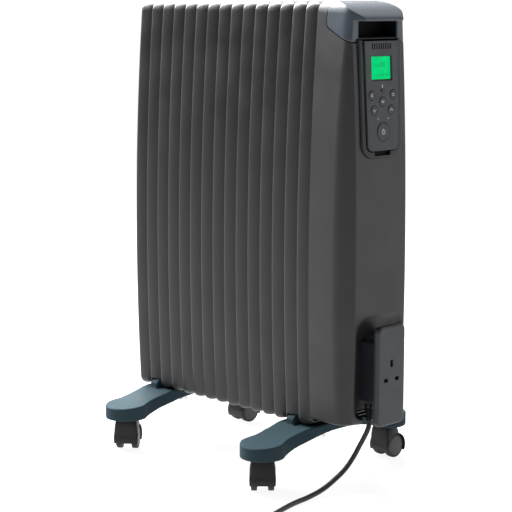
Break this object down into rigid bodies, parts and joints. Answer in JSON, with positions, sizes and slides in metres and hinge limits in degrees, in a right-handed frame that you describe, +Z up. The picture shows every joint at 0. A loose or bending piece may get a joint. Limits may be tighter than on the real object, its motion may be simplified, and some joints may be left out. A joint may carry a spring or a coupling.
{
  "type": "oil filled radiator heater",
  "caption": "Upright portable radiator heater: a row of folded metal fins, an end cover with screen, buttons, hand recess and cord winder, and two arched feet on twin-wheel castors.",
  "frame": {"origin": "floor level under the middle of the heater without its lead", "axes": "+X along the fin stack towards the control end, +Y towards the rear, +Z up"},
  "size_m": [0.6061, 0.4909, 0.666],
  "materials": {
    "fin_paint": "satin charcoal powder coat",
    "bare_steel": "dull mill finish",
    "bright_steel": "plated steel",
    "blue_grey_plastic": "satin blue-grey moulding",
    "fascia_plastic": "satin grey moulding",
    "screen": "lit green display",
    "signal_lens": "dark red lens",
    "board": "green circuit board",
    "black_plastic": "fine-textured black moulding",
    "castor_tread": "black wheel",
    "cord_sheath": "matt black sheath",
    "brass_pin": "bright"
  },
  "bodies": {
    "heater": {"fin_01": "fin_paint", "fin_02": "fin_paint", "fin_03": "fin_paint", "fin_04": "fin_paint", "fin_05": "fin_paint", "fin_06": "fin_paint", "fin_07": "fin_paint", "fin_08": "fin_paint", "fin_09": "fin_paint", "fin_10": "fin_paint", "fin_11": "fin_paint", "fin_12": "fin_paint", "fin_13": "fin_paint", "fin_14": "fin_paint", "fin_15": "fin_paint", "oil_vessel": "bare_steel", "heating_element": "bright_steel", "end_cover": "fin_paint", "heat_shield": "bare_steel", "handle_cap": "blue_grey_plastic", "control_surround": "blue_grey_plastic", "control_fascia": "fascia_plastic", "display_screen": "screen", "signal_window": "signal_lens", "control_board": "board", "thermal_cutout": "bright_steel", "tilt_switch": "black_plastic", "cord_winder": "blue_grey_plastic", "foot_left": "blue_grey_plastic", "foot_right": "blue_grey_plastic", "foot_hook_left": "bright_steel", "foot_hook_right": "bright_steel", "foot_nut_left": "bright_steel", "foot_nut_right": "bright_steel", "cord_gland": "black_plastic", "power_cord": "cord_sheath", "cord_coil": "cord_sheath", "coil_tie": "black_plastic", "plug_body": "black_plastic", "plug_pin_earth": "brass_pin", "plug_pin_live": "brass_pin", "plug_pin_neutral": "brass_pin"},
    "button_mode": {"button_mode": "fascia_plastic"},
    "button_set": {"button_set": "fascia_plastic"},
    "button_menu": {"button_menu": "fascia_plastic"},
    "button_down": {"button_down": "fascia_plastic"},
    "button_up": {"button_up": "fascia_plastic"},
    "button_power": {"button_power": "fascia_plastic"},
    "castor_front_left": {"castor_hood_front_left": "black_plastic"},
    "wheel_a_front_left": {"castor_wheel_a_front_left": "castor_tread"},
    "wheel_b_front_left": {"castor_wheel_b_front_left": "castor_tread"},
    "castor_front_right": {"castor_hood_front_right": "black_plastic"},
    "wheel_a_front_right": {"castor_wheel_a_front_right": "castor_tread"},
    "wheel_b_front_right": {"castor_wheel_b_front_right": "castor_tread"},
    "castor_rear_left": {"castor_hood_rear_left": "black_plastic"},
    "wheel_a_rear_left": {"castor_wheel_a_rear_left": "castor_tread"},
    "wheel_b_rear_left": {"castor_wheel_b_rear_left": "castor_tread"},
    "castor_rear_right": {"castor_hood_rear_right": "black_plastic"},
    "wheel_a_rear_right": {"castor_wheel_a_rear_right": "castor_tread"},
    "wheel_b_rear_right": {"castor_wheel_b_rear_right": "castor_tread"}
  },
  "joints": [
    {"name": "press_mode", "type": "slide", "parent": "heater", "child": "button_mode", "axis": [-0.999, 0, -0.0454], "range_m": [0, 0.0008], "stiffness_N_per_m": 300},
    {"name": "press_set", "type": "slide", "parent": "heater", "child": "button_set", "axis": [-0.999, 0, -0.0454], "range_m": [0, 0.0008], "stiffness_N_per_m": 300},
    {"name": "press_menu", "type": "slide", "parent": "heater", "child": "button_menu", "axis": [-0.999, 0, -0.0454], "range_m": [0, 0.0008], "stiffness_N_per_m": 300},
    {"name": "press_down", "type": "slide", "parent": "heater", "child": "button_down", "axis": [-0.999, 0, -0.0454], "range_m": [0, 0.0008], "stiffness_N_per_m": 300},
    {"name": "press_up", "type": "slide", "parent": "heater", "child": "button_up", "axis": [-0.999, 0, -0.0454], "range_m": [0, 0.0008], "stiffness_N_per_m": 300},
    {"name": "press_power", "type": "slide", "parent": "heater", "child": "button_power", "axis": [-0.999, 0, -0.0454], "range_m": [0, 0.0008], "stiffness_N_per_m": 300},
    {"name": "swivel_front_left", "type": "hinge", "parent": "heater", "child": "castor_front_left", "pos_m": [-0.1862, -0.125, 0.05], "axis": [0, 0, 1], "continuous": true},
    {"name": "roll_a_front_left", "type": "hinge", "parent": "castor_front_left", "child": "wheel_a_front_left", "pos_m": [-0.19134, -0.11887, 0.0175], "axis": [0.766, 0.6428, 0], "continuous": true},
    {"name": "roll_b_front_left", "type": "hinge", "parent": "castor_front_left", "child": "wheel_b_front_left", "pos_m": [-0.19134, -0.11887, 0.0175], "axis": [0.766, 0.6428, 0], "continuous": true},
    {"name": "swivel_front_right", "type": "hinge", "parent": "heater", "child": "castor_front_right", "pos_m": [0.1066, -0.125, 0.05], "axis": [0, 0, 1], "continuous": true},
    {"name": "roll_a_front_right", "type": "hinge", "parent": "castor_front_right", "child": "wheel_a_front_right", "pos_m": [0.10085, -0.11944, 0.0175], "axis": [0.6947, 0.7193, 0], "continuous": true},
    {"name": "roll_b_front_right", "type": "hinge", "parent": "castor_front_right", "child": "wheel_b_front_right", "pos_m": [0.10085, -0.11944, 0.0175], "axis": [0.6947, 0.7193, 0], "continuous": true},
    {"name": "swivel_rear_left", "type": "hinge", "parent": "heater", "child": "castor_rear_left", "pos_m": [-0.1862, 0.125, 0.05], "axis": [0, 0, 1], "continuous": true},
    {"name": "roll_a_rear_left", "type": "hinge", "parent": "castor_rear_left", "child": "wheel_a_rear_left", "pos_m": [-0.1862, 0.117, 0.0175], "axis": [-1, 0, 0], "continuous": true},
    {"name": "roll_b_rear_left", "type": "hinge", "parent": "castor_rear_left", "child": "wheel_b_rear_left", "pos_m": [-0.1862, 0.117, 0.0175], "axis": [-1, 0, 0], "continuous": true},
    {"name": "swivel_rear_right", "type": "hinge", "parent": "heater", "child": "castor_rear_right", "pos_m": [0.1066, 0.125, 0.05], "axis": [0, 0, 1], "continuous": true},
    {"name": "roll_a_rear_right", "type": "hinge", "parent": "castor_rear_right", "child": "wheel_a_rear_right", "pos_m": [0.1066, 0.133, 0.0175], "axis": [1, 0, 0], "continuous": true},
    {"name": "roll_b_rear_right", "type": "hinge", "parent": "castor_rear_right", "child": "wheel_b_rear_right", "pos_m": [0.1066, 0.133, 0.0175], "axis": [1, 0, 0], "continuous": true}
  ]
}
